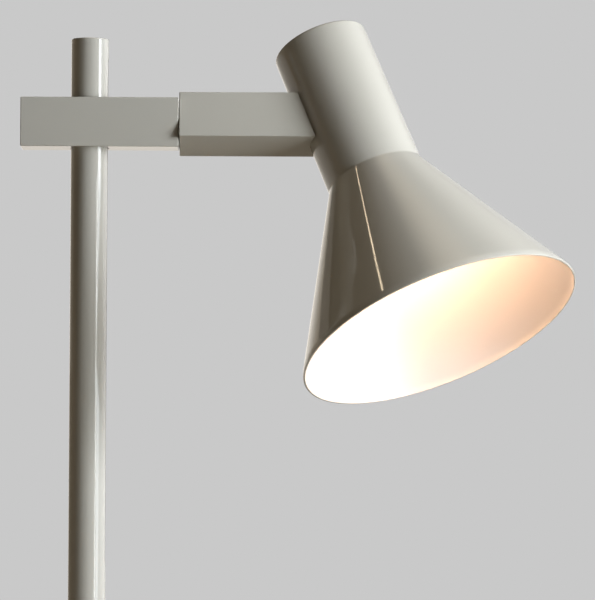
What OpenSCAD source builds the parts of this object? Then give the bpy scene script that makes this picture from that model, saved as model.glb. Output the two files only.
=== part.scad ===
// Desk lamp with a spun shade on a square arm. The arm slides up and down a
// round pole, the pole turns in its weighted base, and the head rolls about
// the arm's own axis.
// Millimetres, +Z up, +X along the arm. The origin is on the pole's axis,
// at the level of the table.

/* [Base] */
// Diameter of the base cover
base_d = 220; // [180:5:260]
// Height of the base's top above the table
base_top = 16; // [15:0.5:22]
// Sheet thickness of the base cover
cover_t = 1.2; // [0.8:0.1:2]
// Outer radius of the base cover's upper edge
cover_edge_r = 4; // [2.5:0.5:6]
// Height of the cover's lower rim above the table
cover_lift = 1.5; // [0.5:0.25:2]
// Thickness of the felt pad under the weight
pad_t = 2.5; // [2:0.25:3]
// Bare ring between the pad's edge and the cover's wall
pad_margin = 3; // [1:0.5:8]
// Width of the duct that leads the cable to the middle of the base
duct_w = 9; // [8.5:0.25:12]

/* [Cable inlet] */
// Bore of the inlet bush
inlet_bore = 6; // [4:0.25:6.5]
// Body diameter of the inlet bush
inlet_d = 8; // [7.5:0.1:8.3]
// Flange diameter of the inlet bush
inlet_flange_d = 10; // [9:0.25:11]
// Thickness of the inlet bush's flange
inlet_flange_t = 1.2; // [0.8:0.1:2]
// Height of the inlet's axis above the table
inlet_h = 7.25; // [7:0.05:7.5]
// Length of the inlet bush inside the cover
inlet_len = 9; // [6:0.5:14]

/* [Pole] */
// Outside diameter of the pole
pole_d = 22.7; // [21:0.1:24]
// Wall of the pole's tube
pole_wall = 1.5; // [1:0.1:2]
// Height of the pole's top above the table
pole_top = 500; // [450:1:600]
// Width of the cable slot that faces the arm
slot_w = 6; // [5.5:0.1:7]
// Height of the slot's lower end above the table
slot_low = 180; // [120:5:182]
// Whole tube left above the slot
slot_margin = 12; // [11:0.5:13]
// Depth of the plug that closes the pole's top
cap_depth = 9; // [5:0.5:10]
// Wall of that plug
cap_wall = 2; // [1.5:0.25:3]

/* [Pole bearing] */
// Diameter of the threaded spindle under the pole
foot_spindle_d = 14; // [12:0.25:16]
// Bore through the foot for the cable
foot_bore = 8; // [6:0.25:9]
// Thickness of the foot's flange
foot_flange_t = 3; // [2.5:0.25:4]
// Depth of the stop groove in the foot's flange
foot_groove_depth = 1.8; // [1.2:0.1:2]
// Length of the foot's plug inside the pole
foot_plug_len = 30; // [20:1:45]
// Thickness of the washer under the pole
foot_washer_t = 1; // [0.6:0.1:1.5]
// Width across the flats of the base nut
base_nut_af = 22; // [20:0.5:26]
// Thickness of the base nut
base_nut_t = 4; // [3:0.25:4.5]
// Thickness of the spring washer above the base nut
base_spring_t = 1; // [0.6:0.1:1.5]
// Clear depth between the pad and the spindle's lower end
foot_clear = 1; // [0.5:0.25:1.5]
// Diameter of the two stop pins
stop_pin_d = 2; // [1.5:0.1:2.2]
// Angle that the pole turns each way from rest
pole_turn = 150; // [60:5:160]

/* [Arm block] */
// Depth of the arm's axis below the pole's top at rest
arm_drop = 51.5; // [51:0.5:100]
// Outside width of the block's square tube
block_w = 30; // [28.5:0.1:33]
// Wall of the block's square tube
block_wall = 2; // [1.5:0.1:2.2]
// Reach of the block behind the pole's axis
block_back = 41.5; // [40:0.5:60]
// Reach of the block in front of the pole's axis
block_front = 54.2; // [53:0.1:80]
// Corner radius along the square tubes
edge_r = 0.6; // [0.3:0.1:1.4]
// Bevel round the square tubes' open ends
end_bevel = 0.5; // [0.2:0.1:0.9]
// Thickness of the cap in the block's rear end
block_cap_t = 4; // [3:0.25:4.5]
// Reach of the pole guide in front of the pole's axis
guide_front = 20; // [17:0.5:22]
// Length of each key that rides in the pole's slot
key_len = 6; // [4:0.25:8]

/* [Arm friction] */
// Diameter of the friction shoe
shoe_d = 11.5; // [9:0.25:12]
// Length of the friction shoe from the pole's surface
shoe_len = 8; // [6:0.25:9]
// Diameter of the adjusting screw behind the shoe
adjuster_d = 12; // [11:0.25:13]
// Length of the adjusting screw
adjuster_len = 5; // [4:0.25:6]
// Wire diameter of the shoe's spring
spring_wire = 1.2; // [0.8:0.1:1.4]
// Outside diameter of the shoe's spring
spring_d = 9; // [7:0.25:10]
// Number of turns of the shoe's spring
spring_turns = 4; // [3:1:5]

/* [Roll joint] */
// Diameter of the hollow spindle between block and head
spindle_d = 14; // [12:0.25:15]
// Bore of the spindle for the cable
spindle_bore = 8; // [6:0.25:9]
// Diameter of the spindle's flange inside the head tube
spindle_flange_d = 20; // [18:0.5:23]
// Thickness of the spindle's flange
spindle_flange_t = 2.5; // [1.5:0.25:4]
// Length of the plug in the block's front end
block_plug_len = 14; // [10:0.5:15]
// Length of the plug in the head tube
tube_plug_len = 16; // [10:0.5:22]
// Open joint between the block and the head tube
joint_gap = 0.3; // [0.2:0.05:0.6]
// Thickness of the friction disc, which lies inside the block's front end
disc_t = 0.8; // [0.7:0.1:1.5]
// Diameter of the friction disc
disc_d = 25.4; // [23.5:0.1:25.4]
// Thickness of the steel washer behind the block plug
thrust_t = 1; // [0.8:0.1:1.4]
// Thickness of each spring washer
cone_t = 0.8; // [0.5:0.1:1]
// Width across the flats of the two spindle nuts
spindle_nut_af = 19; // [18:0.25:22]
// Thickness of each spindle nut
spindle_nut_t = 3.5; // [3:0.25:4]
// Distance of the stop pin from the roll axis
stop_r = 10.4; // [10:0.05:10.5]
// Depth of the stop groove in the block plug
groove_depth = 4; // [3:0.25:5]
// Depth to which the stop pin is set in the tube plug
pin_hold = 6; // [4:0.25:8]
// Angle that the head rolls each way from hanging straight down
head_roll_limit = 90; // [45:5:150]

/* [Head tube] */
// Outside width of the head's square tube
tube_w = 29.5; // [28.5:0.1:33]
// Wall of the head's square tube
tube_wall = 2; // [1.5:0.1:2.2]
// Roll of the head about the arm at rest
head_roll = 20.5; // [0:0.5:45]
// Clearance where the tube's coped end comes nearest to the shade's neck
cope_gap = 0.15; // [0.1:0.05:1]
// Radius of the tube's cope, larger than the neck's so that its sides stand off
cope_r = 38; // [34:0.5:45]
// Length of the saddle block along the tube
saddle_len = 24; // [22:0.5:30]

/* [Shade] */
// Distance from the pole's axis to where the shade's axis crosses the arm's
shade_reach = 160.2; // [150:0.1:200]
// Tilt of the shade away from square to the arm
shade_tilt = 20.9; // [10:0.1:25]
// Radius of the neck at its top
neck_top_r = 29.2; // [28.5:0.1:32]
// Radius of the neck at the crease
neck_low_r = 29.9; // [28.5:0.1:32]
// Height of the neck above the arm's axis, along the shade's axis
neck_up = 57.5; // [55:0.1:75]
// Depth of the crease below the arm's axis, along the shade's axis
neck_down = 37.5; // [30:0.1:40]
// Depth of the cone from the crease to the mouth
cone_len = 107.9; // [95:0.1:115]
// Radius of the shade's mouth
mouth_r = 87.4; // [80:0.1:95]
// Sheet thickness of the shade
skin = 1.2; // [0.8:0.1:1.5]
// Outer radius of the neck's top edge
neck_edge_r = 1.6; // [1.3:0.1:3]
// Outer radius of the crease between neck and cone
crease_r = 1.5; // [0.5:0.1:3]
// Radius of the rim's two edges
rim_r = 0.3; // [0.1:0.05:0.35]
// Length of the cone's last stretch, which turns in towards the rim
rim_turn_len = 3; // [2:0.1:5]
// Angle by which that stretch turns in
rim_turn = 12; // [4:1:20]

/* [Lampholder] */
// Outside radius of the lampholder's body
holder_r = 19.5; // [18:0.1:20]
// Length of the lampholder from the bracket to its open end
holder_len = 50; // [46:0.5:54]
// Inside radius of the lampholder's body
holder_bore_r = 14.6; // [14.2:0.1:16]
// Sheet thickness of the lampholder's screw shell
shell_t = 0.4; // [0.3:0.05:0.6]
// Play of the bulb's cap in the screw shell, all round
shell_gap = 0.1; // [0.05:0.05:0.3]
// Height of the bracket's plate above the arm's axis, along the shade's axis
plate_h = 40; // [36:0.5:42]
// Sheet thickness of the lampholder bracket
bracket_t = 1.5; // [1:0.1:1.8]
// Width of the lampholder bracket
bracket_w = 15; // [12:0.5:18]
// Reach of the bracket's leg below the arm's axis
leg_low = 4; // [3:0.5:6]
// Diameter of the threaded nipple
nipple_d = 10; // [8:0.25:11]
// Bore of the threaded nipple
nipple_bore = 7; // [5:0.25:7.5]
// Width across the flats of the nipple's nut
nipple_nut_af = 14; // [13:0.25:17]
// Thickness of the nipple's nut
nipple_nut_t = 3; // [2:0.25:4]
// Half the distance between the two saddle screws
saddle_pitch = 7; // [6.5:0.1:7.5]
// Diameter of the cable's passage through saddle and neck
passage_d = 7; // [5:0.25:7]
// Diameter of the cable inside the head
lead_d = 3.6; // [3:0.1:4]
// Room between the cable and the lampholder's side
lead_gap = 1; // [0.8:0.1:1.2]

/* [Bulb] */
// Largest radius of the bulb's glass
bulb_r = 30; // [25:0.5:32]
// Whole length of the bulb
bulb_len = 105; // [98:0.5:110]
// Radius of the bulb's screw cap
cap_r = 13.2; // [12.5:0.1:13.8]
// Length of the bulb's screw cap
cap_len = 24; // [20:0.5:26]
// Pitch of the bulb's screw thread
thread_pitch = 3.6; // [3:0.1:4]
// Depth of the bulb's screw thread
thread_depth = 1.1; // [0.6:0.1:1.3]
// Wall of the bulb's glass
glass_t = 0.8; // [0.5:0.1:1.2]

/* [Screws] */
// Shank diameter of the small screws
screw_d = 4; // [3:0.1:4.2]
// Room between the countersunk screws' tips and the spindle
screw_room = 0.75; // [0.5:0.05:2]
// Head diameter of the small screws
screw_head_d = 7.6; // [7:0.1:8]
// Height of the small screws' heads
screw_head_h = 1.8; // [1.4:0.1:1.9]
// Radius of the screws' hex sockets, over the corners
socket_r = 1.45; // [1.1:0.05:1.5]
// Depth of the screws' hex sockets
socket_depth = 1.2; // [0.8:0.1:1.4]

/* [Fits] */
// Radial clearance of a shaft that turns or slides in its hole
running = 0.05; // [0.02:0.01:0.08]
// Clearance round a piece that stays put in its hole
loose = 0.1; // [0.05:0.01:0.15]
// Gap between flat faces that turn on each other
face_gap = 0.05; // [0.02:0.01:0.1]
// Clearance between the pole and the hole in the block's tube
pole_gap = 0.5; // [0.3:0.05:0.8]
// Clearance of each key in the pole's slot, on either side
key_gap = 0.2; // [0.1:0.05:0.3]
// Clearance of each stop pin in its groove, all round
pin_gap = 0.3; // [0.2:0.05:0.4]

/* [Hidden] */
$fn = 96;
// Overlap of the cutting shapes.
eps = 1;
// Thread left beyond each nut.
thread_end = 0.5;
// Width of the washers' rings.
washer_w = 4;
// Metal left between a screw's head and the end of the piece it holds.
screw_margin = 1;

pole_r = pole_d / 2;
pole_in_r = pole_r - pole_wall;
weight_z = pad_t;
weight_top = base_top - cover_t;
weight_r = base_d / 2 - cover_t - loose;
pole_bottom = base_top + foot_washer_t + face_gap + foot_flange_t;
spindle_low = pad_t + foot_clear;
base_nut_z = spindle_low + thread_end;
base_spring_z = base_nut_z + base_nut_t;
recess_top = base_spring_z + base_spring_t + face_gap;
nut_room = 3;
recess_r = base_nut_af / 2 / cos(30) + nut_room;
foot_stop_r = (foot_spindle_d / 2 + pole_r) / 2;
screw_len = (min(block_w, tube_w) - spindle_d) / 2 - screw_room;

arm_h = pole_top - arm_drop;
block_in = block_w - 2 * block_wall;
guide_w = block_in - 2 * loose;
guide_back = block_back - block_cap_t;
pole_hole_r = pole_r + pole_gap;
shoe_back = pole_r + running + shoe_len;
adjuster_sink = 2;
adjuster_back = guide_back - adjuster_sink;
spring_len = adjuster_back - adjuster_len - shoe_back;
tube_start = block_front + joint_gap;
plug_face = tube_start - disc_t;
block_plug_back = plug_face - block_plug_len;
thrust_x = block_plug_back - face_gap;
cone_x = thrust_x - thrust_t;
cone_rise = 0.4;
cone_pitch = cone_t + cone_rise + face_gap;
cone_w = 3.5;
spindle_nut_x = cone_x - 2 * cone_pitch;
spindle_back = spindle_nut_x - 2 * (spindle_nut_t + face_gap) - thread_end;

tube_in = tube_w - 2 * tube_wall;
flange_x = tube_start + tube_plug_len;
saddle_z = neck_low_r * tan(shade_tilt);
saddle_x = shade_reach - neck_low_r / cos(shade_tilt) - saddle_len;
tube_screw_x = tube_start + tube_plug_len / 2;
saddle_screw_x = saddle_x + screw_head_d / 2 + screw_margin;
saddle_screw_reach = 7;
saddle_screw_tip = neck_low_r + saddle_screw_reach;
saddle_head_r = screw_head_d / 2 - 0.6;
plug_screw_x = block_plug_back + block_plug_len / 2;
guide_screw_x = -guide_back + screw_head_d / 2 + 2 * screw_margin;

// Length over which the cable rounds each corner.
lead_bend = 4;
// Gap between the two stretches of cable, inside the spindle nuts.
lead_end_gap = 0.5;
// Room between the bulb's contact and the lampholder's insert.
insert_gap = 0.4;
insert_bore_r = 2;

mouth_z = neck_down + cone_len;
rim_angle = atan((mouth_r - neck_low_r) / cone_len) - rim_turn;
bend_r = mouth_r - rim_turn_len * sin(rim_angle);
bend_z = mouth_z - rim_turn_len * cos(rim_angle);
cone_angle = atan((bend_r - neck_low_r) / (bend_z - neck_down));
bend_half = (cone_angle - rim_angle) / 2;
bend_round = (rim_turn_len - 2 * rim_r) / tan(bend_half);
neck_in_r = neck_low_r - skin;
leg_r = min(neck_top_r, neck_low_r) - skin - loose;
lead_run_r = holder_r + lead_d / 2 + lead_gap;
holder_top_t = 8;
holder_low = plate_h - holder_len;
cap_seat = 26;
cap_top = holder_low + cap_seat;
glass_top = cap_top - cap_len;
insulator_h = 1.2;
insulator_r = 5;
cap_sheet = 0.4;
cap_shoulder = 3;
glass_hold = 6;
contact_h = 1.3;
contact_top = cap_top + insulator_h + contact_h;
insert_low = contact_top + insert_gap;
shell_flange_t = 0.8;
thread_turns = floor((cap_len - cap_shoulder - glass_hold) / thread_pitch);
thread_top = cap_top - cap_shoulder;
thread_low = thread_top - thread_turns * thread_pitch;
bulb_tip = contact_top - bulb_len;

grey = [0.62, 0.61, 0.57];
white = [0.95, 0.94, 0.91];
steel = [0.72, 0.73, 0.74];
dark = [0.15, 0.15, 0.16];
nylon = [0.85, 0.84, 0.80];
brass = [0.80, 0.66, 0.36];

// ---------- placing ----------

module at_arm() {
  translate([0, 0, arm_h]) children();
}

module at_head() {
  at_arm() rotate([-head_roll, 0, 0]) children();
}

module in_shade_frame() {
  translate([shade_reach, 0, 0]) rotate([0, -shade_tilt, 0]) children();
}

module at_shade() {
  at_head() in_shade_frame() children();
}

// Turns what is drawn along +Z to run along +X from x.
module along_x(x) {
  translate([x, 0, 0]) rotate([0, 90, 0]) children();
}

// Turns what is drawn along +Z to run inwards from the rear face at y.
module from_rear(x, y) {
  translate([x, y, 0]) rotate([90, 0, 0]) children();
}

// Places the two saddle screws' axes, running outwards through the neck.
module at_saddle_screws() {
  for (side = [-1, 1])
    translate([0, 0, saddle_z + side * saddle_pitch]) rotate([0, -90, 0]) children();
}

// ---------- shared shapes ----------

function arc(cx, cy, r, from, to, steps = 8) =
  [for (i = [0:steps]) let (a = from + (to - from) * i / steps) [cx + r * cos(a), cy + r * sin(a)]];

// Points of a round corner of radius r, on the path from a by b to c.
function round_corner(a, b, c, r, steps = 6) =
  let (
    u = (a - b) / norm(a - b),
    v = (c - b) / norm(c - b),
    half = acos(u * v) / 2,
    sweep = 180 - 2 * half,
    centre = b + (u + v) / norm(u + v) * r / sin(half),
    first = b + u * r / tan(half) - centre,
    last = b + v * r / tan(half) - centre
  )
  [
    for (i = [0:steps])
      let (w = i / steps)
        centre + (sin((1 - w) * sweep) * first + sin(w * sweep) * last) / sin(sweep)
  ];

function reversed(points) = [for (i = [len(points) - 1:-1:0]) points[i]];

module ring(r_in, r_out, h) {
  difference() {
    cylinder(h = h, r = r_out);
    translate([0, 0, -eps]) cylinder(h = h + 2 * eps, r = r_in);
  }
}

module rounded_square(w, r) {
  square([w - 2 * r, w], center = true);
  square([w, w - 2 * r], center = true);
  for (x = [-1, 1], y = [-1, 1])
    translate([x * (w / 2 - r), y * (w / 2 - r)]) circle(r);
}

// Square bar along X between two places.
module bar(x0, x1, w) {
  along_x(x0) linear_extrude(x1 - x0) square(w, center = true);
}

// Takes the four edges off one end of a square bar of width w.
module bevel_end(x, w) {
  side = end_bevel * sqrt(2);
  for (a = [0:90:270])
    rotate([a, 0, 0]) translate([x, w / 2, 0]) rotate([0, 0, 45]) cube([side, side, 2 * w], center = true);
}

module hex_nut(af, bore_r, h) {
  difference() {
    cylinder(h = h, r = af / 2 / cos(30), $fn = 6);
    translate([0, 0, -eps]) cylinder(h = h + 2 * eps, r = bore_r);
  }
}

// Countersunk screw with a hex socket, drawn into +Z from its head's face.
module countersunk_screw() {
  difference() {
    union() {
      cylinder(h = screw_head_h, r1 = screw_head_d / 2, r2 = screw_d / 2);
      cylinder(h = screw_len, r = screw_d / 2);
    }
    translate([0, 0, -eps]) cylinder(h = eps + socket_depth, r = socket_r, $fn = 6);
  }
}

// What a countersunk screw takes out of the wall and the piece behind it.
module countersink() {
  cylinder(h = screw_head_h, r1 = screw_head_d / 2 + running, r2 = screw_d / 2 + running);
  translate([0, 0, -eps]) cylinder(h = screw_len + eps, r = screw_d / 2 + running);
  translate([0, 0, -eps]) cylinder(h = eps, r = screw_head_d / 2 + running);
}

// Groove of a stop pin: a ring sector with round ends, drawn up from z = 0.
module stop_groove(r, half_angle, depth) {
  half_w = stop_pin_d / 2 + pin_gap;
  rotate([0, 0, -half_angle]) rotate_extrude(angle = 2 * half_angle)
    translate([r - half_w, 0]) square([2 * half_w, depth]);
  for (side = [-1, 1])
    rotate([0, 0, side * half_angle]) translate([r, 0, 0]) cylinder(h = depth, r = half_w);
}

// Closed tube through rings of points, each ring with the same number of sides.
module swept(points, sides) {
  last = len(points) / sides - 1;
  walls = [
    for (i = [0:last - 1], k = [0:sides - 1])
      let (n = (k + 1) % sides)
        [i * sides + k, (i + 1) * sides + k, (i + 1) * sides + n, i * sides + n]
  ];
  start_face = [for (k = [0:sides - 1]) k];
  end_face = [for (k = [sides - 1:-1:0]) last * sides + k];
  polyhedron(points = points, faces = concat([start_face], walls, [end_face]), convexity = 10);
}

// Round cable along a planar path in the XZ plane, with 10 sides.
module cable(path, d) {
  sides = 10;
  last = len(path) - 1;
  rings = [
    for (i = [0:last])
      let (
        ahead = path[min(i + 1, last)] - path[max(i - 1, 0)],
        t = ahead / norm(ahead)
      )
      for (k = [0:sides - 1])
        let (a = 360 * k / sides)
          path[i] + d / 2 * (cos(a) * [0, 1, 0] + sin(a) * [-t.z, 0, t.x])
  ];
  swept(rings, sides);
}

// Path through corner points, each corner rounded over the length bend.
function rounded_path(corners, bend, steps = 6) =
  let (last = len(corners) - 1)
  concat(
    [corners[0]],
    [
      for (i = [1:last - 1])
        let (
          back = corners[i - 1] - corners[i],
          fore = corners[i + 1] - corners[i],
          a = corners[i] + back / norm(back) * bend,
          b = corners[i] + fore / norm(fore) * bend
        )
        for (k = [0:steps])
          let (u = k / steps)
            (1 - u) * (1 - u) * a + 2 * u * (1 - u) * corners[i] + u * u * b
    ],
    [corners[last]]
  );

// ---------- base ----------

module base_pad() {
  color(dark) cylinder(h = pad_t, r = weight_r - pad_margin);
}

module cable_duct() {
  translate([-duct_w / 2, 0, weight_z - eps]) cube([duct_w, base_d, inlet_h + duct_w / 2 - weight_z + eps]);
}

module base_weight() {
  inner_edge_r = cover_edge_r - cover_t;
  color(dark) difference() {
    rotate_extrude() polygon(concat(
      [[0, weight_z], [weight_r, weight_z]],
      arc(weight_r - inner_edge_r - loose, weight_top - inner_edge_r - loose, inner_edge_r, 0, 90),
      [[0, weight_top]]
    ));
    translate([0, 0, -eps]) cylinder(h = base_top + 2 * eps, r = foot_spindle_d / 2 + running);
    translate([0, 0, weight_z - eps]) cylinder(h = recess_top - weight_z + eps, r = recess_r);
    cable_duct();
    translate([foot_stop_r, 0, recess_top - eps]) cylinder(h = base_top, r = stop_pin_d / 2);
  }
}

module base_cover() {
  r = base_d / 2;
  inner_r = r - cover_t;
  color(grey) difference() {
    rotate_extrude() polygon(concat(
      [[0, base_top]],
      [[0, base_top - cover_t]],
      arc(r - cover_edge_r, base_top - cover_edge_r, cover_edge_r - cover_t, 90, 0),
      [[inner_r, cover_lift], [r, cover_lift]],
      arc(r - cover_edge_r, base_top - cover_edge_r, cover_edge_r, 0, 90)
    ));
    translate([0, 0, weight_top - eps]) cylinder(h = cover_t + 2 * eps, r = foot_spindle_d / 2 + loose);
    translate([foot_stop_r, 0, weight_top - eps]) cylinder(h = cover_t + 2 * eps, r = stop_pin_d / 2);
    translate([0, r + eps, inlet_h]) rotate([90, 0, 0])
      cylinder(h = cover_t + 3 * eps, r = inlet_d / 2 + loose);
  }
}

module cable_bush() {
  flange_r = inlet_flange_d / 2;
  whole = inlet_flange_t + inlet_len;
  color(dark) translate([0, base_d / 2 + inlet_flange_t, inlet_h]) rotate([90, 0, 0]) difference() {
    union() {
      cylinder(h = inlet_flange_t, r1 = flange_r - inlet_flange_t / 2, r2 = flange_r);
      cylinder(h = whole, r = inlet_d / 2);
    }
    translate([0, 0, -eps]) cylinder(h = whole + 2 * eps, r = inlet_bore / 2);
  }
}

module foot_washer() {
  color(nylon) difference() {
    translate([0, 0, base_top]) ring(foot_spindle_d / 2 + running, pole_r, foot_washer_t);
    translate([foot_stop_r, 0, base_top - eps]) cylinder(h = foot_washer_t + 2 * eps, r = stop_pin_d / 2);
  }
}

module base_stop_pin() {
  low = (recess_top + weight_top) / 2;
  top = base_top + foot_washer_t + foot_groove_depth - pin_gap;
  color(steel) translate([foot_stop_r, 0, low]) cylinder(h = top - low, r = stop_pin_d / 2);
}

// ---------- pole ----------

module pole_foot() {
  flange_z = base_top + foot_washer_t + face_gap;
  color(steel) difference() {
    union() {
      translate([0, 0, spindle_low]) cylinder(h = flange_z - spindle_low, r = foot_spindle_d / 2);
      translate([0, 0, flange_z]) cylinder(h = foot_flange_t, r = pole_r);
      translate([0, 0, pole_bottom]) cylinder(h = foot_plug_len, r = pole_in_r - running);
    }
    translate([0, 0, -eps]) cylinder(h = pole_bottom + foot_plug_len + 2 * eps, r = foot_bore / 2);
    translate([0, 0, flange_z - eps]) stop_groove(foot_stop_r, pole_turn, foot_groove_depth + eps);
  }
}

module pole_tube() {
  slot_top = pole_top - slot_margin;
  color(grey) difference() {
    translate([0, 0, pole_bottom]) rotate_extrude() polygon([
      [pole_in_r, 0], [pole_r, 0],
      [pole_r, pole_top - pole_bottom - end_bevel],
      [pole_r - end_bevel, pole_top - pole_bottom],
      [pole_in_r, pole_top - pole_bottom]
    ]);
    translate([0, -slot_w / 2, slot_low + slot_w / 2])
      cube([pole_d, slot_w, slot_top - slot_low - slot_w]);
    for (z = [slot_low + slot_w / 2, slot_top - slot_w / 2])
      translate([0, 0, z]) rotate([0, 90, 0]) cylinder(h = pole_d, r = slot_w / 2);
  }
}

module pole_cap() {
  color(grey) translate([0, 0, pole_top - cap_depth]) difference() {
    cylinder(h = cap_depth, r = pole_in_r - running);
    translate([0, 0, -eps]) cylinder(h = cap_depth - cap_wall + eps, r = pole_in_r - cap_wall);
  }
}

module base_spring_washer() {
  color(steel) translate([0, 0, base_spring_z])
    ring(foot_spindle_d / 2 + running, foot_spindle_d / 2 + washer_w, base_spring_t);
}

module base_nut() {
  color(steel) translate([0, 0, base_nut_z]) hex_nut(base_nut_af, foot_spindle_d / 2 + running, base_nut_t);
}

// ---------- arm ----------

module block_tube() {
  color(grey) at_arm() difference() {
    along_x(-block_back) linear_extrude(block_back + block_front) difference() {
      rounded_square(block_w, edge_r);
      square(block_in, center = true);
    }
    bevel_end(-block_back, block_w);
    bevel_end(block_front, block_w);
    cylinder(h = 2 * block_w, r = pole_hole_r, center = true);
    for (x = [guide_screw_x, plug_screw_x])
      from_rear(x, block_w / 2) countersink();
  }
}

module block_cap() {
  color(grey) at_arm() difference() {
    bar(-block_back, -guide_back, guide_w);
    along_x(-guide_back - adjuster_sink) cylinder(h = adjuster_sink + eps, r = adjuster_d / 2);
  }
}

module pole_guide() {
  color(nylon) at_arm() {
    difference() {
      bar(-guide_back, guide_front, guide_w);
      cylinder(h = 2 * block_w, r = pole_r + running, center = true);
      along_x(-shoe_back - eps) cylinder(h = shoe_back, r = shoe_d / 2 + running);
      along_x(-guide_back - eps) cylinder(h = guide_back - shoe_back + eps + 1, r = adjuster_d / 2 + running);
      along_x(0) cylinder(h = guide_front + eps, r = passage_d / 2);
      from_rear(guide_screw_x, block_w / 2) countersink();
    }
    for (side = [-1, 1])
      translate([pole_in_r, -slot_w / 2 + key_gap, side * (guide_w - key_len) / 2 - key_len / 2])
        cube([pole_wall + running + eps, slot_w - 2 * key_gap, key_len]);
  }
}

module friction_shoe() {
  color(dark) at_arm() difference() {
    along_x(-shoe_back) cylinder(h = shoe_back, r = shoe_d / 2);
    cylinder(h = 2 * block_w, r = pole_r + running, center = true);
  }
}

// Compression spring: a helix whose first and last half turns lie flat.
module shoe_spring() {
  steps = 18;
  sides = 8;
  mean_r = (spring_d - spring_wire) / 2;
  travel = spring_len - spring_wire - 2 * face_gap;
  last = spring_turns * steps;
  rise = function(i) travel * min(max((i / steps - 0.5) / (spring_turns - 1), 0), 1);
  rings = [
    for (i = [0:last], k = [0:sides - 1])
      let (
        a = 360 * i / steps,
        b = 360 * k / sides,
        r = mean_r + spring_wire / 2 * cos(b)
      )
        [r * cos(a), -r * sin(a), rise(i) + spring_wire / 2 * (1 + sin(b))]
  ];
  color(steel) at_arm() along_x(-adjuster_back + adjuster_len + face_gap)
    swept(rings, sides);
}

module shoe_adjuster() {
  color(brass) at_arm() along_x(-adjuster_back) difference() {
    cylinder(h = adjuster_len, r = adjuster_d / 2);
    translate([0, 0, -eps]) cylinder(h = adjuster_len / 2 + eps, r = adjuster_d / 4, $fn = 6);
  }
}

module block_plug() {
  color(steel) at_arm() difference() {
    bar(block_plug_back, plug_face, guide_w);
    along_x(block_plug_back - eps) cylinder(h = block_plug_len + 2 * eps, r = spindle_d / 2 + running);
    along_x(plug_face - groove_depth)
      rotate([0, 0, 180]) stop_groove(stop_r, head_roll_limit, groove_depth + eps);
    from_rear(plug_screw_x, block_w / 2) countersink();
  }
}

module block_screws() {
  color(steel) at_arm() for (x = [guide_screw_x, plug_screw_x])
    from_rear(x, block_w / 2) countersunk_screw();
}

module arm_lead() {
  color(dark) at_arm() cable([[0, 0, 0], [spindle_back - lead_end_gap, 0, 0]], lead_d);
}

// ---------- head tube and roll joint ----------

// A drum of radius r at its foot that comes within gap of the neck's rear,
// and all that lies in front of the shade's axis.
module neck_cut(gap, r) {
  translate([r - neck_low_r - gap, 0, -neck_down])
    cylinder(h = neck_up + neck_down, r1 = r, r2 = r + neck_top_r - neck_low_r);
  translate([0, -block_w, -2 * block_w]) cube([2 * block_w, 2 * block_w, 4 * block_w]);
}

module head_tube() {
  color(grey) at_head() difference() {
    along_x(tube_start) linear_extrude(shade_reach - tube_start) difference() {
      rounded_square(tube_w, edge_r);
      square(tube_in, center = true);
    }
    bevel_end(tube_start, tube_w);
    in_shade_frame() neck_cut(cope_gap, cope_r);
    for (x = [tube_screw_x, saddle_screw_x])
      from_rear(x, tube_w / 2) countersink();
  }
}

module tube_plug() {
  color(steel) at_head() difference() {
    bar(tube_start, flange_x, tube_in - 2 * loose);
    along_x(tube_start - eps) cylinder(h = tube_plug_len + 2 * eps, r = spindle_d / 2 + running);
    along_x(tube_start - eps) translate([-stop_r, 0, 0]) cylinder(h = pin_hold + eps, r = stop_pin_d / 2);
    from_rear(tube_screw_x, tube_w / 2) countersink();
  }
}

module swivel_spindle() {
  color(brass) at_head() difference() {
    union() {
      along_x(spindle_back) cylinder(h = flange_x - spindle_back, r = spindle_d / 2);
      along_x(flange_x) cylinder(h = spindle_flange_t, r = spindle_flange_d / 2);
    }
    along_x(spindle_back - eps)
      cylinder(h = flange_x + spindle_flange_t - spindle_back + 2 * eps, r = spindle_bore / 2);
  }
}

module friction_disc() {
  color(nylon) at_head() difference() {
    along_x(plug_face + face_gap) ring(spindle_d / 2 + running, disc_d / 2, disc_t - face_gap);
    along_x(plug_face - eps) translate([-stop_r, 0, 0]) cylinder(h = disc_t + 2 * eps, r = stop_pin_d / 2);
  }
}

module roll_stop_pin() {
  length = groove_depth - pin_gap + disc_t + pin_hold;
  color(steel) at_head() along_x(tube_start + pin_hold - length) translate([-stop_r, 0, 0])
    cylinder(h = length, r = stop_pin_d / 2);
}

module thrust_washer() {
  color(steel) at_head() along_x(thrust_x - thrust_t)
    ring(spindle_d / 2 + running, spindle_d / 2 + washer_w, thrust_t);
}

// Two conical spring washers, stacked rim to rim.
module cone_washers() {
  bore = spindle_d / 2 + running;
  rim = spindle_d / 2 + cone_w;
  color(steel) at_head() for (i = [1, 2])
    along_x(cone_x - i * cone_pitch) mirror([0, 0, i - 1])
      translate([0, 0, (1 - i) * (cone_pitch - face_gap)]) rotate_extrude() polygon([
        [bore, cone_rise], [rim, 0], [rim, cone_t], [bore, cone_t + cone_rise]
      ]);
}

module spindle_nuts() {
  color(brass) at_head() for (i = [1, 2])
    along_x(spindle_nut_x - i * (spindle_nut_t + face_gap))
      hex_nut(spindle_nut_af, spindle_d / 2 + running, spindle_nut_t);
}

module head_screws() {
  color(steel) at_head() for (x = [tube_screw_x, saddle_screw_x])
    from_rear(x, tube_w / 2) countersunk_screw();
}

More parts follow.
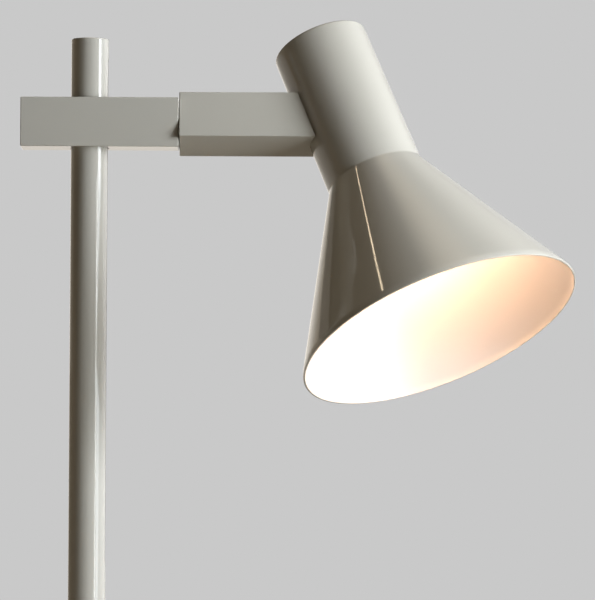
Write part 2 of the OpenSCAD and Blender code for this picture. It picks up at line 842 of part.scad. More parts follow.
module neck_saddle() {
  color(steel) at_head() difference() {
    bar(saddle_x, shade_reach, tube_in - 2 * loose);
    in_shade_frame() neck_cut(running, neck_low_r + running);
    along_x(saddle_x - eps) cylinder(h = saddle_len + neck_low_r, r = passage_d / 2);
    in_shade_frame() at_saddle_screws() cylinder(h = saddle_screw_tip + 1, r = screw_d / 2 + running);
    from_rear(saddle_screw_x, tube_w / 2) countersink();
  }
}

module saddle_screws() {
  head_in = sqrt(pow(leg_r - bracket_t, 2) - pow(saddle_head_r, 2));
  color(steel) at_shade() at_saddle_screws() difference() {
    union() {
      translate([0, 0, head_in - screw_head_h]) cylinder(h = screw_head_h, r = saddle_head_r);
      translate([0, 0, head_in - eps]) cylinder(h = saddle_screw_tip - head_in + eps, r = screw_d / 2);
    }
    translate([0, 0, head_in - screw_head_h - eps]) cylinder(h = eps + socket_depth, r = socket_r, $fn = 6);
  }
}

// ---------- shade and lampholder ----------

// Outward direction, in half section, of a wall that leans out by this angle.
function side(angle) = [cos(angle), sin(angle)];

// Half section of the spun shade: closed neck, crease and open cone, whose last
// stretch turns in to a rim cut square to the sheet.
function shade_section() =
  let (
    crease_drop = skin * (1 / cos(cone_angle) - 1) / tan(cone_angle),
    out_top = [neck_top_r, neck_up],
    out_crease = [neck_low_r, -neck_down],
    out_bend = [bend_r, -bend_z],
    out_rim = [mouth_r, -mouth_z],
    in_top = [neck_top_r - skin, neck_up - skin],
    in_crease = [neck_in_r, -neck_down - crease_drop],
    in_bend = out_bend - skin / cos(bend_half) * side(cone_angle - bend_half),
    in_rim = out_rim - skin * side(rim_angle)
  )
  concat(
    [[0, neck_up], [0, neck_up - skin]],
    round_corner([0, neck_up - skin], in_top, in_crease, max(neck_edge_r - skin, 0.2), 4),
    round_corner(in_top, in_crease, in_bend, crease_r + skin),
    round_corner(in_crease, in_bend, in_rim, bend_round - skin),
    round_corner(in_bend, in_rim, out_rim, rim_r, 3),
    round_corner(in_rim, out_rim, out_bend, rim_r, 3),
    round_corner(out_rim, out_bend, out_crease, bend_round),
    round_corner(out_bend, out_crease, out_top, crease_r),
    round_corner(out_crease, out_top, [0, neck_up], neck_edge_r, 8)
  );

module shade() {
  color(grey) at_shade() difference() {
    rotate_extrude($fn = 180) polygon(shade_section());
    at_saddle_screws() cylinder(h = neck_low_r + 5, r = screw_d / 2 + loose);
    saddle_passage();
  }
}

// Cable passage along the arm's axis, in the shade's own frame.
module saddle_passage() {
  rotate([0, shade_tilt, 0]) rotate([0, -90, 0]) cylinder(h = 2 * neck_low_r, r = passage_d / 2);
}

module holder_bracket() {
  color(steel) at_shade() difference() {
    intersection() {
      rotate_extrude() difference() {
        translate([0, -leg_low]) square([leg_r, plate_h + bracket_t + leg_low]);
        translate([-eps, -leg_low - eps]) square([leg_r - bracket_t + eps, plate_h + leg_low + eps]);
      }
      union() {
        translate([-leg_r - eps, -bracket_w / 2, -leg_low - eps]) cube([leg_r + eps, bracket_w, 2 * plate_h]);
        cylinder(h = 2 * plate_h, r = bracket_w / 2);
      }
    }
    translate([0, 0, plate_h - eps]) cylinder(h = bracket_t + 2 * eps, r = nipple_d / 2 + loose);
    translate([-lead_run_r, 0, plate_h - eps])
      cylinder(h = bracket_t + 2 * eps, r = lead_d / 2 + lead_gap / 2);
    at_saddle_screws() cylinder(h = neck_low_r, r = screw_d / 2 + loose);
    saddle_passage();
  }
}

module holder_body() {
  dome_r = 6;
  step = 0.8;
  skirt_h = 16;
  color(white) at_shade() rotate_extrude() polygon(concat(
    [[nipple_d / 2 + running, plate_h - holder_top_t], [nipple_d / 2 + running, plate_h]],
    arc(holder_r - dome_r, plate_h - dome_r, dome_r, 90, 0),
    [[holder_r, holder_low + skirt_h], [holder_r - step, holder_low + skirt_h - step]],
    [[holder_r - step, holder_low + step], [holder_r - 2 * step, holder_low]],
    [[holder_bore_r, holder_low], [holder_bore_r, plate_h - holder_top_t]]
  ));
}

module holder_insert() {
  color(white) at_shade() translate([0, 0, insert_low])
    ring(insert_bore_r, holder_bore_r - loose, plate_h - holder_top_t - insert_low - face_gap);
}

// Side of the bulb's thread, drawn as rings, whose crests lie at radius r.
function thread_side(r, steps = 8) = [
  for (i = [0:steps * thread_turns])
    [r - thread_depth / 2 * (1 - cos(360 * i / steps)), thread_low + i * thread_pitch / steps]
];

// Screw shell round the bulb's cap, with a flange against the insert.
module holder_shell() {
  inner_r = cap_r + shell_gap;
  outer_r = inner_r + shell_t;
  low = holder_low + shell_flange_t;
  top = insert_low - face_gap;
  color(brass) at_shade() rotate_extrude() polygon(concat(
    [[inner_r, low], [outer_r, low]],
    thread_side(outer_r),
    [[outer_r, top - shell_flange_t], [holder_bore_r - loose, top - shell_flange_t]],
    [[holder_bore_r - loose, top], [inner_r, top]],
    reversed(thread_side(inner_r))
  ));
}

module holder_nipple() {
  length = holder_top_t + bracket_t + nipple_nut_t + 2 * thread_end;
  color(brass) at_shade() translate([0, 0, plate_h - holder_top_t])
    ring(nipple_bore / 2, nipple_d / 2, length);
}

module nipple_nut() {
  color(brass) at_shade() translate([0, 0, plate_h + bracket_t])
    hex_nut(nipple_nut_af, nipple_d / 2 + running, nipple_nut_t);
}

module head_lead() {
  turn_z = plate_h + bracket_t + nipple_nut_t + 2 * thread_end + lead_d;
  tilted = function(x, z) [
    shade_reach + x * cos(shade_tilt) - z * sin(shade_tilt),
    0,
    x * sin(shade_tilt) + z * cos(shade_tilt)
  ];
  corners = [
    [spindle_back, 0, 0],
    tilted(-lead_run_r, lead_run_r * tan(shade_tilt)),
    tilted(-lead_run_r, turn_z),
    tilted(0, turn_z),
    tilted(0, plate_h - holder_top_t)
  ];
  color(dark) at_head() cable(rounded_path(corners, lead_bend), lead_d);
}

module bulb_cap() {
  inner_r = cap_r - cap_sheet;
  color(steel) at_shade() rotate_extrude() polygon(concat(
    [[inner_r, cap_top - cap_len], [cap_r, cap_top - cap_len]],
    thread_side(cap_r),
    [[insulator_r, cap_top], [insulator_r - cap_sheet, cap_top - cap_sheet / 2]],
    reversed(thread_side(inner_r))
  ));
}

module bulb_contact() {
  color(dark) at_shade() translate([0, 0, cap_top]) union() {
    cylinder(h = insulator_h, r1 = insulator_r, r2 = insulator_r - cap_sheet);
    translate([0, 0, insulator_h]) cylinder(h = contact_h, r1 = insulator_r - 1, r2 = insulator_r / 2);
  }
}

// Glass of the bulb: a round globe that narrows into the cap in a hollow curve.
function glass_section(inset) =
  let (
    globe_z = bulb_tip + bulb_r,
    blend_r = bulb_r + 4,
    root_r = cap_r - cap_sheet - loose - inset,
    r = bulb_r - inset,
    hollow_x = root_r + blend_r + inset,
    hollow_r = blend_r + inset,
    rise = sqrt(pow(r + hollow_r, 2) - pow(hollow_x, 2)),
    meet = atan(rise / hollow_x)
  )
  concat(
    [[0, bulb_tip + inset]],
    arc(0, globe_z, r, -85, meet, 16),
    arc(hollow_x, globe_z + rise, hollow_r, 180 + meet, 180, 8),
    [[root_r, glass_top + glass_hold]]
  );

module bulb_glass() {
  outer = glass_section(0);
  inner = glass_section(glass_t);
  color(white) at_shade() rotate_extrude() polygon(concat(outer, reversed(inner)));
}

// ---------- the parts ----------

base_pad();
base_weight();
base_cover();
cable_bush();
foot_washer();
base_stop_pin();
pole_foot();
pole_tube();
pole_cap();
base_spring_washer();
base_nut();
block_tube();
block_cap();
pole_guide();
friction_shoe();
shoe_spring();
shoe_adjuster();
block_plug();
block_screws();
arm_lead();
head_tube();
tube_plug();
swivel_spindle();
friction_disc();
roll_stop_pin();
thrust_washer();
cone_washers();
spindle_nuts();
head_screws();
neck_saddle();
saddle_screws();
shade();
holder_bracket();
holder_body();
holder_insert();
holder_shell();
holder_nipple();
nipple_nut();
head_lead();
bulb_cap();
bulb_contact();
bulb_glass();
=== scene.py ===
"""Desk lamp with a spun shade on a square arm: finish, small forms, studio and camera.

Metres, +Z up along the pole, +X along the arm, +Y to the lamp's rear. Every new
piece is worked out from the frame's own boxes and the shade's few driving sizes.
"""

import math

import bmesh
import bpy
import numpy as np
from mathutils import Matrix, Vector


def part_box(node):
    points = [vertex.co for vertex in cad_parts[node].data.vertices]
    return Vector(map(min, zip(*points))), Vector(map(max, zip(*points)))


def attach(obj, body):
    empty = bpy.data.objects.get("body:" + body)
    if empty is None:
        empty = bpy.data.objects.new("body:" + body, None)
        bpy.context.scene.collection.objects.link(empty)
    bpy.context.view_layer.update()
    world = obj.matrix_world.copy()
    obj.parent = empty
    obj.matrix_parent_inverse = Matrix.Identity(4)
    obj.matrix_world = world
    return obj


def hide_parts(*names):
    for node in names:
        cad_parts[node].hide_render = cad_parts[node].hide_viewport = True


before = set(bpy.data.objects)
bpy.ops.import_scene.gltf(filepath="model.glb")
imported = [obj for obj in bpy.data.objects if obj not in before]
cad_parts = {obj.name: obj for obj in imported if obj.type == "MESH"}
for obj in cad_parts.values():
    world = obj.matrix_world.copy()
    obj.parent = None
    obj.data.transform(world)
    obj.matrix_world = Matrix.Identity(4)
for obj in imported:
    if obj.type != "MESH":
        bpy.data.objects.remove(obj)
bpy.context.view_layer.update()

MM = 0.001

# ---------- sizes that the frame's boxes don't give ----------

SHADE_REACH = 160.2 * MM
SHADE_TILT = math.radians(20.9)
HEAD_ROLL = math.radians(20.5)
NECK_TOP_R = 29.2 * MM
NECK_LOW_R = 29.9 * MM
NECK_UP = 57.5 * MM
NECK_DOWN = 37.5 * MM
CONE_LEN = 107.9 * MM
MOUTH_R = 87.4 * MM
SKIN = 1.2 * MM
NECK_EDGE_R = 1.6 * MM
CREASE_R = 4 * MM
RIM_R = 0.3 * MM
RIM_TURN_LEN = 3 * MM
RIM_TURN = math.radians(12)
RIM_STEPS = 5
SHADE_SEGMENTS = 256

block_low, block_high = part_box("block_tube")
ARM_HEIGHT = (block_low.z + block_high.z) / 2

# ---------- places ----------

head_place = (
    Matrix.Translation((0, 0, ARM_HEIGHT))
    @ Matrix.Rotation(-HEAD_ROLL, 4, "X")
)
shade_place = (
    head_place
    @ Matrix.Translation((SHADE_REACH, 0, 0))
    @ Matrix.Rotation(-SHADE_TILT, 4, "Y")
)


def placed(points, place):
    """Points, one per row, carried by a 4 by 4 matrix: rotation times point plus shift."""
    m = np.array(place)
    return points @ m[:3, :3].T + m[:3, 3]


# ---------- shared surface effects ----------

def effect(name, values, build):
    """A node group with number inputs: Tone is a grey factor round 1, Height a relief."""
    group = bpy.data.node_groups.new(name, "ShaderNodeTree")
    for label, value in values.items():
        socket = group.interface.new_socket(label, in_out="INPUT", socket_type="NodeSocketFloat")
        socket.default_value = value
    for label in ("Tone", "Height"):
        group.interface.new_socket(label, in_out="OUTPUT", socket_type="NodeSocketFloat")
    ends = group.nodes.new("NodeGroupInput"), group.nodes.new("NodeGroupOutput")
    build(group, *ends)
    return group


def noise_of(group, scale, detail=2.0, stretch=None):
    """Noise over the object's own coordinates, stretched by a factor along each axis."""
    place = group.nodes.new("ShaderNodeTexCoord").outputs["Object"]
    if stretch:
        mapping = group.nodes.new("ShaderNodeMapping")
        mapping.inputs["Scale"].default_value = stretch
        group.links.new(place, mapping.inputs["Vector"])
        place = mapping.outputs[0]
    noise = group.nodes.new("ShaderNodeTexNoise")
    noise.inputs["Detail"].default_value = detail
    group.links.new(place, noise.inputs["Vector"])
    if isinstance(scale, (int, float)):
        noise.inputs["Scale"].default_value = scale
    else:
        group.links.new(scale, noise.inputs["Scale"])
    return noise.outputs["Fac"]


def calc(group, kind, a, b, c=None):
    """One step of arithmetic between two or three numbers or sockets."""
    step = group.nodes.new("ShaderNodeMath")
    step.operation = kind
    for i, value in enumerate((a, b) if c is None else (a, b, c)):
        if isinstance(value, (int, float)):
            step.inputs[i].default_value = value
        else:
            group.links.new(value, step.inputs[i])
    return step.outputs[0]


def build_film(group, given, out):
    """Sprayed film: slow cloudiness in tone, a fine orange-peel relief and rare specks."""
    cloud = noise_of(group, given.outputs["Cloud"], 3)
    specks = noise_of(group, given.outputs["Specks"], 1)
    peel = noise_of(group, given.outputs["Peel"], 1)
    dark = calc(group, "GREATER_THAN", specks, 0.80)
    tone = calc(group, "MULTIPLY_ADD", cloud, given.outputs["Depth"], 1)
    tone = calc(group, "SUBTRACT", tone, calc(group, "MULTIPLY", given.outputs["Depth"], 0.5))
    tone = calc(group, "MULTIPLY_ADD", dark, -0.10, tone)
    group.links.new(tone, out.inputs["Tone"])
    group.links.new(peel, out.inputs["Height"])


def build_grain(group, given, out):
    """Grain: coarse and fine noise mixed into one tone and one relief."""
    coarse = noise_of(group, given.outputs["Coarse"], 4)
    fine = noise_of(group, given.outputs["Fine"], 2)
    both = calc(group, "MULTIPLY_ADD", coarse, 0.5, calc(group, "MULTIPLY", fine, 0.5))
    tone = calc(group, "MULTIPLY_ADD", calc(group, "SUBTRACT", both, 0.5), given.outputs["Depth"], 1)
    group.links.new(tone, out.inputs["Tone"])
    group.links.new(both, out.inputs["Height"])


def build_turning(group, given, out):
    """Tool marks: noise drawn out along the piece's X, mixed with stains of larger size."""
    marks = noise_of(group, given.outputs["Marks"], 2, (0.06, 1, 1))
    stains = noise_of(group, given.outputs["Stains"], 3)
    both = calc(group, "MULTIPLY_ADD", marks, 0.6, calc(group, "MULTIPLY", stains, 0.4))
    tone = calc(group, "MULTIPLY_ADD", calc(group, "SUBTRACT", both, 0.5), given.outputs["Depth"], 1)
    group.links.new(tone, out.inputs["Tone"])
    group.links.new(marks, out.inputs["Height"])


sprayed_film = effect("sprayed_film", {"Cloud": 9, "Specks": 900, "Peel": 700, "Depth": 0.03}, build_film)
fine_grain = effect("fine_grain", {"Coarse": 60, "Fine": 900, "Depth": 0.3}, build_grain)
tool_marks = effect("tool_marks", {"Marks": 2500, "Stains": 60, "Depth": 0.25}, build_turning)


# ---------- materials ----------

def finish(name, colour, group, roughness, relief, spread=0.0, settings=(), **values):
    """Principled surface whose colour, roughness and relief vary by a shared effect.

    Colour is the plain colour times Tone. Roughness is the plain value plus
    spread times Height. Relief is the height in metres that Height stands for.
    """
    mat = bpy.data.materials.new(name)
    mat.use_nodes = True
    tree = mat.node_tree
    shader = tree.nodes["Principled BSDF"]
    look = tree.nodes.new("ShaderNodeGroup")
    look.node_tree = group
    for label, value in values.items():
        look.inputs[label].default_value = value
    mix = tree.nodes.new("ShaderNodeVectorMath")
    mix.operation = "SCALE"
    mix.inputs[0].default_value = colour
    tree.links.new(look.outputs["Tone"], mix.inputs["Scale"])
    tree.links.new(mix.outputs[0], shader.inputs["Base Color"])
    rough = calc(tree, "MULTIPLY_ADD", look.outputs["Height"], spread, roughness)
    tree.links.new(rough, shader.inputs["Roughness"])
    bump = tree.nodes.new("ShaderNodeBump")
    bump.inputs["Distance"].default_value = relief
    tree.links.new(look.outputs["Height"], bump.inputs["Height"])
    tree.links.new(bump.outputs[0], shader.inputs["Normal"])
    for label, value in settings:
        shader.inputs[label].default_value = value
    return mat


GREY = (0.462, 0.446, 0.402)
WHITE = (0.46, 0.44, 0.435)
THIN_GLOSS = (("Specular IOR Level", 0.27),)
METAL = (("Metallic", 1.0),)
BULB_LIGHT = (("Emission Color", (1.0, 0.64, 0.39, 1)), ("Emission Strength", 37.0))

grey_lacquer = finish("grey_lacquer", GREY, sprayed_film, 0.045, 0.3e-6, 0.02, THIN_GLOSS)
white_lacquer = finish("white_lacquer", WHITE, sprayed_film, 0.30, 1e-6, 0.05, THIN_GLOSS, Depth=0.02)
LOOKS = {
    "grey_lacquer": grey_lacquer,
    "felt": finish(
        "felt", (0.045, 0.045, 0.047), fine_grain, 0.9, 60e-6, 0.1, Coarse=200, Fine=2500, Depth=0.9),
    "cast_iron": finish(
        "cast_iron", (0.10, 0.098, 0.094), fine_grain, 0.62, 80e-6, 0.2, Coarse=90, Fine=700),
    "rubber": finish("rubber", (0.03, 0.03, 0.031), fine_grain, 0.55, 8e-6, 0.2, Fine=1500),
    "nylon": finish("nylon", (0.80, 0.79, 0.75), fine_grain, 0.38, 4e-6, 0.1, Depth=0.06),
    "zinc_steel": finish("zinc_steel", (0.62, 0.62, 0.61), tool_marks, 0.26, 4e-6, 0.22, METAL),
    "cast_aluminium": finish(
        "cast_aluminium", (0.68, 0.68, 0.69), fine_grain, 0.42, 25e-6, 0.2, METAL, Coarse=150),
    "brass": finish("brass", (0.72, 0.54, 0.26), tool_marks, 0.22, 4e-6, 0.22, METAL, Stains=45, Depth=0.35),
    "cable_sheath": finish("cable_sheath", (0.03, 0.03, 0.03), fine_grain, 0.42, 6e-6, 0.1, Fine=1200),
    "moulded_white": finish("moulded_white", (0.82, 0.81, 0.77), fine_grain, 0.22, 4e-6, 0.1, Depth=0.05),
    "porcelain": finish(
        "porcelain", (0.86, 0.85, 0.81), fine_grain, 0.12, 3e-6, 0.08, Coarse=40, Depth=0.05),
    "black_glaze": finish("black_glaze", (0.03, 0.03, 0.03), fine_grain, 0.15, 3e-6, 0.1),
    "opal_glass": finish(
        "opal_glass", (0.90, 0.88, 0.84), fine_grain, 0.2, 2e-6, 0.05, BULB_LIGHT, Depth=0.04),
}

NODE_LOOKS = {
    "felt": ["base_pad"],
    "cast_iron": ["base_weight"],
    "rubber": ["cable_bush", "friction_shoe"],
    "nylon": ["foot_washer", "pole_guide", "friction_disc"],
    "zinc_steel": [
        "base_stop_pin", "pole_foot", "base_spring_washer", "base_nut", "shoe_spring",
        "block_screws", "roll_stop_pin", "thrust_washer", "cone_washers", "head_screws",
        "saddle_screws", "holder_bracket", "bulb_cap",
    ],
    "cast_aluminium": ["block_plug", "tube_plug", "neck_saddle"],
    "brass": [
        "shoe_adjuster", "swivel_spindle", "spindle_nuts", "holder_shell", "holder_nipple", "nipple_nut",
    ],
    "cable_sheath": ["arm_lead", "head_lead"],
    "moulded_white": ["holder_body"],
    "porcelain": ["holder_insert"],
    "black_glaze": ["bulb_contact"],
    "opal_glass": ["bulb_glass"],
    "grey_lacquer": [
        "base_cover", "pole_tube", "pole_cap", "block_tube", "block_cap", "head_tube", "shade",
    ],
}
look_of = {node: look for look, nodes in NODE_LOOKS.items() for node in nodes}
for name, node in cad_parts.items():
    node.data.materials.clear()
    node.data.materials.append(LOOKS[look_of[name]])


# ---------- surfaces ----------

def ring_faces(rows, columns):
    """Quads between closed rings: corner (i, j) joined to (i, j+1), (i+1, j+1) and (i+1, j)."""
    i, j = np.meshgrid(np.arange(rows - 1), np.arange(columns), indexing="ij")
    here, beside = i * columns + j, i * columns + (j + 1) % columns
    return np.stack([here, beside, beside + columns, here + columns], -1).reshape(-1, 4)


def mesh_piece(name, mesh, body):
    """New piece from a mesh, riding its body."""
    piece = bpy.data.objects.new(name, mesh)
    bpy.context.scene.collection.objects.link(piece)
    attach(piece, body)
    return piece


def corner(before, at, after, radius, steps=8):
    """Arc of the given radius in the corner at a point between two straight runs."""
    before, at, after = (np.array(p, float) for p in (before, at, after))
    u = (before - at) / np.linalg.norm(before - at)
    v = (after - at) / np.linalg.norm(after - at)
    half = np.arccos(np.clip(u @ v, -1, 1)) / 2
    centre = at + (u + v) / np.linalg.norm(u + v) * radius / np.sin(half)
    first = at + u * radius / np.tan(half) - centre
    last = at + v * radius / np.tan(half) - centre
    sweep = np.pi - 2 * half
    w = np.linspace(0, 1, steps + 1)[:, None]
    return centre + (np.sin((1 - w) * sweep) * first + np.sin(w * sweep) * last) / np.sin(sweep)


def spun(profile, segments):
    """Surface of revolution: point (r cos a, r sin a, z) for each profile point (r, z) and angle a."""
    a = np.linspace(0, 2 * np.pi, segments, endpoint=False)
    r, z = profile[:, :1], profile[:, 1:]
    x, y = r * np.cos(a), r * np.sin(a)
    return np.stack([x, y, np.broadcast_to(z, x.shape)], -1).reshape(-1, 3)


def run(a, b, steps):
    """Evenly spaced points between two ends, without the ends."""
    w = np.linspace(0, 1, steps + 1)[1:-1, None]
    return np.array(a) * (1 - w) + np.array(b) * w


def side(angle):
    """Outward direction, in half section, of a wall that leans out by this angle."""
    return np.array([math.cos(angle), math.sin(angle)])


def shade_profile():
    """The shade's half section as (r, z) points, from the outer pole to the inner pole.

    Neck, crease and cone are straight runs with round corners; the last
    RIM_TURN_LEN of the cone turns in by RIM_TURN to the rim. The inside is the
    same section one sheet thickness further in. Also returns the row where the
    inside starts.
    """
    mouth_z = -NECK_DOWN - CONE_LEN
    rim_angle = math.atan((MOUTH_R - NECK_LOW_R) / CONE_LEN) - RIM_TURN
    rim = np.array([MOUTH_R, mouth_z])
    bend = rim + RIM_TURN_LEN * np.array([-math.sin(rim_angle), math.cos(rim_angle)])
    crease = np.array([NECK_LOW_R, -NECK_DOWN])
    cone_angle = math.atan((bend[0] - crease[0]) / (crease[1] - bend[1]))
    half = (cone_angle - rim_angle) / 2
    bend_round = (RIM_TURN_LEN - 2 * RIM_R) / math.tan(half)
    drop = SKIN * (1 / math.cos(cone_angle) - 1) / math.tan(cone_angle)
    pole, top = (0, NECK_UP), (NECK_TOP_R, NECK_UP)
    in_rim = rim - SKIN * side(rim_angle)
    in_bend = bend - SKIN / math.cos(half) * side(cone_angle - half)
    in_crease = (NECK_LOW_R - SKIN, -NECK_DOWN - drop)
    in_top, in_pole = (NECK_TOP_R - SKIN, NECK_UP - SKIN), (0, NECK_UP - SKIN)
    outside = [
        run(pole, top, 7),
        corner(pole, top, crease, NECK_EDGE_R),
        run(top, crease, 12),
        corner(top, crease, bend, CREASE_R),
        run(crease, bend, 40),
        corner(crease, bend, rim, bend_round, 10),
        corner(bend, rim, in_rim, RIM_R, RIM_STEPS),
    ]
    inside = [
        corner(rim, in_rim, in_bend, RIM_R, RIM_STEPS),
        corner(in_rim, in_bend, in_crease, bend_round - SKIN, 10),
        run(in_bend, in_crease, 40),
        corner(in_bend, in_crease, in_top, CREASE_R + SKIN),
        run(in_crease, in_top, 12),
        corner(in_crease, in_top, in_pole, NECK_EDGE_R - SKIN, 4),
        run(in_top, in_pole, 7),
    ]
    return np.concatenate(outside + inside), sum(len(p) for p in outside)


def make_shade():
    """Skin of the shade: its half section spun round its axis, a fan closing each pole."""
    profile, inside_row = shade_profile()
    segments, rows = SHADE_SEGMENTS, len(profile)
    rings = placed(spun(profile, segments), shade_place)
    poles = placed(np.array([[0, 0, NECK_UP], [0, 0, NECK_UP - SKIN]]), shade_place)
    quads = ring_faces(rows, segments)[:, ::-1]
    a = np.arange(segments)
    b = (a + 1) % segments
    last = (rows - 1) * segments
    first_fan = np.stack([np.full(segments, rows * segments), a, b], -1)
    last_fan = np.stack([np.full(segments, rows * segments + 1), last + b, last + a], -1)
    mesh = bpy.data.meshes.new("shade_skin")
    faces = quads.tolist() + first_fan.tolist() + last_fan.tolist()
    mesh.from_pydata(np.concatenate([rings, poles]).tolist(), [], faces)
    mesh.materials.append(grey_lacquer)
    mesh.materials.append(white_lacquer)
    row = np.repeat(np.arange(rows - 1), segments)
    white = np.concatenate([row >= inside_row + RIM_STEPS, np.zeros(segments, bool), np.ones(segments, bool)])
    mesh.polygons.foreach_set("material_index", white.astype(np.int32))
    mesh.shade_smooth()
    mesh.update()
    piece = mesh_piece("shade_skin", mesh, "head")
    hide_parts("shade")
    return piece


make_shade()


SHARP_EDGE = math.radians(35)


def finished(node, body):
    """A node's own surface with its corners joined, so that its round faces shade as one.

    Edges that turn by more than SHARP_EDGE stay crisp, and wide faces keep
    their own direction beside narrow ones.
    """
    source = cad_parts[node]
    mesh = source.data.copy()
    mesh.name = node + "_finish"
    shell = bmesh.new()
    shell.from_mesh(mesh)
    bmesh.ops.remove_doubles(shell, verts=shell.verts, dist=0.5e-6)
    bmesh.ops.dissolve_degenerate(shell, edges=shell.edges, dist=1e-7)
    shell.to_mesh(mesh)
    shell.free()
    mesh.shade_smooth()
    mesh.set_sharp_from_angle(angle=SHARP_EDGE)
    piece = mesh_piece(node + "_finish", mesh, body)
    weigh = piece.modifiers.new("face_weight", "WEIGHTED_NORMAL")
    weigh.keep_sharp = True
    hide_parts(node)
    return piece


ROUND_NODES = (
    ("base_cover", "base", "lacquer"), ("base_pad", "base", "felt"), ("cable_bush", "base", "black_rubber"),
    ("foot_washer", "base", "nylon"),
    ("pole_foot", "pole", "plain_steel"), ("pole_tube", "pole", "lacquer"), ("pole_cap", "pole", "lacquer"),
    ("block_tube", "arm", "lacquer"), ("block_cap", "arm", "lacquer"), ("pole_guide", "arm", "nylon"),
    ("block_screws", "arm", "plain_steel"), ("shoe_adjuster", "arm", "brass"),
    ("head_tube", "head", "lacquer"), ("head_screws", "head", "plain_steel"),
    ("saddle_screws", "head", "plain_steel"), ("holder_bracket", "head", "plain_steel"),
    ("holder_body", "head", "holder_plastic"), ("holder_insert", "head", "porcelain"),
    ("holder_shell", "head", "brass"), ("head_lead", "head", "black_cable"),
    ("bulb_cap", "head", "plain_steel"), ("bulb_glass", "head", "bulb_opal"),
)
for node, body, slot in ROUND_NODES:
    finished(node, body)

# ---------- studio ----------

TARGET = Vector((0.1, 0, 0.4))
BACKDROP = 0.584


def compass(azimuth, elevation=0.0):
    """Unit direction: azimuth turns from the front towards +X, elevation is above the horizon."""
    a, e = math.radians(azimuth), math.radians(elevation)
    return Vector((math.sin(a) * math.cos(e), -math.cos(a) * math.cos(e), math.sin(e)))


def area_light(name, place, facing, along, width, height, radiance):
    """Rectangle of light that looks along facing, with its width along another direction."""
    light = bpy.data.lights.new(name, "AREA")
    light.shape = "RECTANGLE"
    light.size, light.size_y = width, height
    light.energy = math.pi * width * height
    light.color = radiance
    z = -facing.normalized()
    x = (along - along.dot(z) * z).normalized()
    lamp = bpy.data.objects.new(name, light)
    lamp.matrix_world = Matrix.Translation(place) @ Matrix((x, z.cross(x), z)).transposed().to_4x4()
    lamp.visible_camera = False
    bpy.context.scene.collection.objects.link(lamp)
    return lamp


def standing_box(name, start, end, low, high, distance, radiance):
    """Upright softbox round the lamp, from one azimuth to another and between two heights."""
    out = compass((start + end) / 2)
    width = 2 * distance * math.tan(math.radians((end - start) / 2))
    place = TARGET + distance * out
    place.z = (low + high) / 2
    return area_light(name, place, -out, Vector((-out.y, out.x, 0)), width, high - low, radiance)


# The key light from the front right: a bright strip, with two wide panels beside it.
standing_box("key_low_left", 44.5, 50.5, 0.02, 0.52, 1.3, (22.5, 23.5, 23.3))
standing_box("key_low_right", 54, 74, 0.02, 0.52, 1.3, (9.8, 10.6, 11.3))
standing_box("key_high", 52, 74, 0.52, 0.90, 1.3, (22.5, 23.6, 24.9))
# Softer panels further round: right, rear right, rear left and left.
standing_box("side_box", 74, 106, 0.05, 1.0, 1.8, (1.5, 1.7, 1.9))
standing_box("rear_side_box", 106, 140, 0.05, 1.0, 2.4, (1.6, 1.55, 1.6))
standing_box("rear_left_fill", -180, -115, 0.12, 1.0, 2.8, (0.40, 0.34, 0.25))
standing_box("upper_left_fill", -178, -108, 0.42, 1.30, 2.7, (0.26, 0.24, 0.21))
standing_box("left_fill", -115, -80, 0.05, 1.0, 3.0, (0.34, 0.24, 0.15))

# A slim warm light up on the left, which mirrors in the cone as one thin line.
BAR_PLACE = Vector((-1.6886, 0.6263, 2.6295))
area_light("warm_bar", BAR_PLACE, Vector((0.17, -0.08, 0.38)) - BAR_PLACE,
           Vector((0.1106, -0.9639, -0.2421)), 0.26, 0.040, (21.0, 17.0, 11.6))


def smooth_step(tree, value, low, high):
    """Smooth step from 0 at low to 1 at high."""
    step = tree.nodes.new("ShaderNodeMapRange")
    step.interpolation_type = "SMOOTHSTEP"
    step.inputs["From Min"].default_value = low
    step.inputs["From Max"].default_value = high
    tree.links.new(value, step.inputs["Value"])
    return step.outputs[0]


world = bpy.data.worlds.new("studio")
bpy.context.scene.world = world
world.use_nodes = True
tree = world.node_tree
sky = tree.nodes["Background"]
path = tree.nodes.new("ShaderNodeLightPath")
split = tree.nodes.new("ShaderNodeSeparateXYZ")
tree.links.new(tree.nodes.new("ShaderNodeTexCoord").outputs["Generated"], split.inputs[0])


def glow(tree, mask, colour):
    """A colour scaled by a mask."""
    scale = tree.nodes.new("ShaderNodeVectorMath")
    scale.operation = "SCALE"
    scale.inputs[0].default_value = colour
    tree.links.new(mask, scale.inputs["Scale"])
    return scale.outputs[0]


def added(tree, a, b):
    """Sum of two colours."""
    total = tree.nodes.new("ShaderNodeVectorMath")
    tree.links.new(a, total.inputs[0])
    tree.links.new(b, total.inputs[1])
    return total.outputs[0]


x, y, z = split.outputs
right = smooth_step(tree, x, -0.1, 0.65)
rear = smooth_step(tree, y, -0.55, 0.1)
upper = calc(tree, "MULTIPLY", calc(tree, "MULTIPLY", right, rear), smooth_step(tree, z, 0.2, 0.7))
overhead = smooth_step(tree, z, 0.93, 0.99)
room = added(tree, glow(tree, upper, (1.35, 1.32, 1.27)), glow(tree, overhead, (2.7, 2.3, 1.75)))
mirrored = calc(tree, "MAXIMUM", path.outputs["Is Glossy Ray"], path.outputs["Is Transmission Ray"])
mirrored = calc(tree, "MULTIPLY", mirrored, smooth_step(tree, y, 0.80, 0.95))
backdrop = (BACKDROP, BACKDROP, BACKDROP)
room = added(tree, room, glow(tree, mirrored, backdrop))
choice = tree.nodes.new("ShaderNodeMix")
choice.data_type = "VECTOR"
tree.links.new(path.outputs["Is Camera Ray"], choice.inputs["Factor"])
tree.links.new(room, choice.inputs[4])
choice.inputs[5].default_value = backdrop
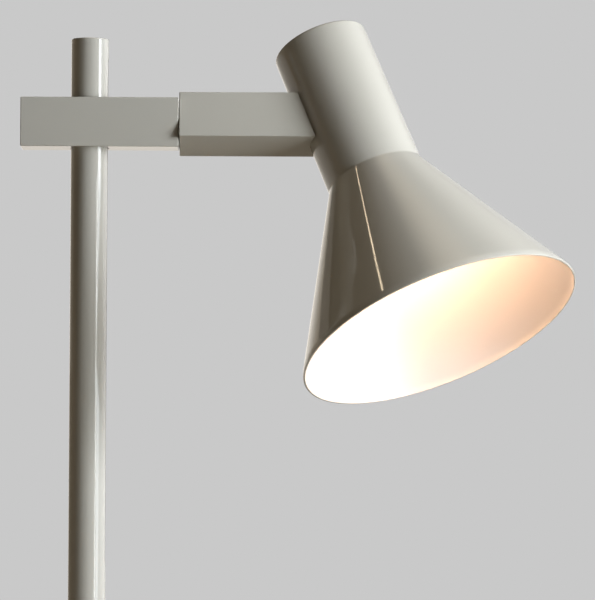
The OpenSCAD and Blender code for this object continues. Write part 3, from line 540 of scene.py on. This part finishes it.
tree.links.new(choice.outputs[1], sky.inputs["Color"])

FLOOR_SPAN = 20.0
floor_mesh = bpy.data.meshes.new("floor")
floor_corners = ((-1, -1), (1, -1), (1, 1), (-1, 1))
floor_mesh.from_pydata([(FLOOR_SPAN * i, FLOOR_SPAN * j, 0) for i, j in floor_corners], [], [(0, 1, 2, 3)])
floor = bpy.data.objects.new("floor", floor_mesh)
bpy.context.scene.collection.objects.link(floor)
paper = bpy.data.materials.new("floor_paper")
paper.use_nodes = True
tree = paper.node_tree
shader = tree.nodes["Principled BSDF"]
shader.inputs["Roughness"].default_value = 0.9
path = tree.nodes.new("ShaderNodeLightPath")
tone = tree.nodes.new("ShaderNodeMix")
tone.data_type = "RGBA"
tree.links.new(path.outputs["Is Camera Ray"], tone.inputs["Factor"])
tone.inputs[6].default_value = (0.30, 0.265, 0.215, 1)
tone.inputs[7].default_value = (0.6, 0.6, 0.6, 1)
tree.links.new(tone.outputs[2], shader.inputs["Base Color"])
split = tree.nodes.new("ShaderNodeSeparateXYZ")
place = tree.nodes.new("ShaderNodeTexCoord").outputs["Object"]
tree.links.new(place, split.inputs[0])
reach = tree.nodes.new("ShaderNodeVectorMath")
reach.operation = "LENGTH"
tree.links.new(place, reach.inputs[0])
far = smooth_step(tree, reach.outputs["Value"], 0.7, 2.2)
behind = smooth_step(tree, split.outputs["Y"], 1.2, 2.4)
mirrored = calc(tree, "MULTIPLY", path.outputs["Is Glossy Ray"], behind)
shown = calc(tree, "MAXIMUM", calc(tree, "MULTIPLY", path.outputs["Is Camera Ray"], far), mirrored)
plain = tree.nodes.new("ShaderNodeEmission")
plain.inputs["Color"].default_value = (BACKDROP, BACKDROP, BACKDROP, 1)
blend = tree.nodes.new("ShaderNodeMixShader")
tree.links.new(shown, blend.inputs[0])
tree.links.new(shader.outputs[0], blend.inputs[1])
tree.links.new(plain.outputs[0], blend.inputs[2])
tree.links.new(blend.outputs[0], tree.nodes["Material Output"].inputs["Surface"])
floor_mesh.materials.append(paper)

# ---------- camera ----------

CAMERA_PLACE = (0.12673, -3.33064, 0.15090)
CAMERA_PITCH = math.radians(3.28)
CAMERA_ROLL = math.radians(-0.27)

camera_data = bpy.data.cameras.new("camera")
camera_data.sensor_width = 36
camera_data.lens = 330
camera = bpy.data.objects.new("camera", camera_data)
turn = Matrix.Rotation(CAMERA_PITCH, 4, "X") @ Matrix.Rotation(CAMERA_ROLL, 4, "Y")
camera.matrix_world = Matrix.Translation(CAMERA_PLACE) @ turn @ Matrix.Rotation(math.pi / 2, 4, "X")
bpy.context.scene.collection.objects.link(camera)
bpy.context.scene.camera = camera

bpy.context.scene.view_settings.view_transform = "Standard"
